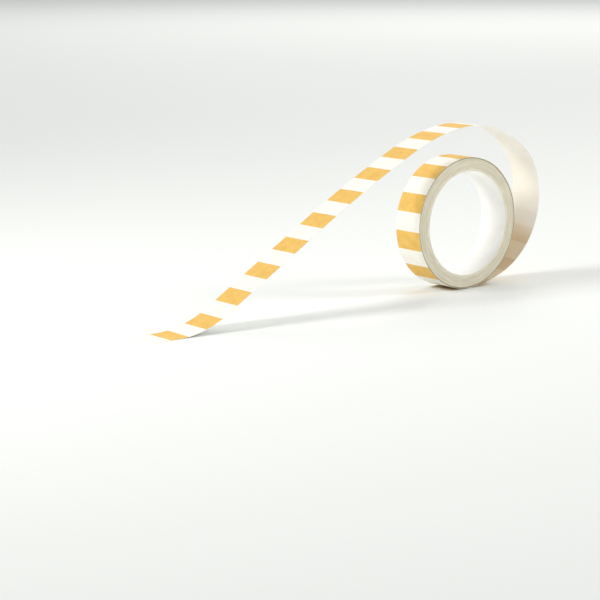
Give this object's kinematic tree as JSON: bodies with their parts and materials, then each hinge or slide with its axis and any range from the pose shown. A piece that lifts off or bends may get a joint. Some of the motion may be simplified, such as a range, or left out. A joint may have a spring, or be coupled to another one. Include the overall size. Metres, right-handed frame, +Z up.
{
  "type": "roll of decorative paper tape",
  "caption": "Small roll of striped decorative paper tape on a white-lined board core, standing on edge with its outer turn peeled into a loop that slopes down to the floor.",
  "frame": {"origin": "centre of the core's bore, halfway across the tape's width", "axes": "+Z up with the roll standing on its edge, +Y along the roll's axis, the free end running towards -X"},
  "size_m": [0.1437, 0.0146, 0.0493],
  "materials": {
    "white_liner": "smooth matte white paper",
    "grey_board": "cut edge of grey board, fine fibres",
    "wound_tape_edges": "slit edges of many tape turns, fine concentric lines",
    "tape_paper": "thin off-white fibrous paper, slightly see-through",
    "tape_adhesive": "cream underside with a soft sheen",
    "gold_ink": "matte mustard-gold print"
  },
  "bodies": {
    "peel": {"peel_paper": "tape_paper", "peel_adhesive": "tape_adhesive", "peel_gold_bands": "gold_ink"},
    "roll": {"core_liner": "white_liner", "core_inner_ply": "grey_board", "core_outer_ply": "grey_board", "wound_turns": "wound_tape_edges", "outer_turn_adhesive": "tape_adhesive", "outer_turn_paper": "tape_paper", "outer_turn_gold_bands": "gold_ink"},
    "loop": {"loop_paper": "tape_paper", "loop_adhesive": "tape_adhesive", "loop_gold_bands": "gold_ink"},
    "upper_slope": {"upper_slope_paper": "tape_paper", "upper_slope_adhesive": "tape_adhesive", "upper_slope_gold_bands": "gold_ink"},
    "lower_slope": {"lower_slope_paper": "tape_paper", "lower_slope_adhesive": "tape_adhesive", "lower_slope_gold_bands": "gold_ink"},
    "tip": {"tip_paper": "tape_paper", "tip_adhesive": "tape_adhesive", "tip_gold_bands": "gold_ink"}
  },
  "joints": [
    {"name": "roll_turn", "type": "hinge", "parent": "peel", "child": "roll", "pos_m": [0, 0, 0], "axis": [0, 1, 0], "continuous": true},
    {"name": "loop_flex", "type": "hinge", "parent": "peel", "child": "loop", "pos_m": [0.02762, -0.00165, 0.00415], "axis": [0, 1, 0], "range_deg": [-8, 25], "stiffness_Nm_per_rad": 0.002},
    {"name": "crown_flex", "type": "hinge", "parent": "loop", "child": "upper_slope", "pos_m": [-0.0107, -0.0046, 0.02848], "axis": [0, 1, 0], "range_deg": [-10, 20], "stiffness_Nm_per_rad": 0.001},
    {"name": "slope_flex", "type": "hinge", "parent": "upper_slope", "child": "lower_slope", "pos_m": [-0.05234, -0.0046, 0.00907], "axis": [0, 1, 0], "range_deg": [-20, 20], "stiffness_Nm_per_rad": 0.0005},
    {"name": "landing_flex", "type": "hinge", "parent": "lower_slope", "child": "tip", "pos_m": [-0.09168, -0.0046, -0.01499], "axis": [0, 1, 0], "range_deg": [-30, 40], "stiffness_Nm_per_rad": 0.0002}
  ]
}
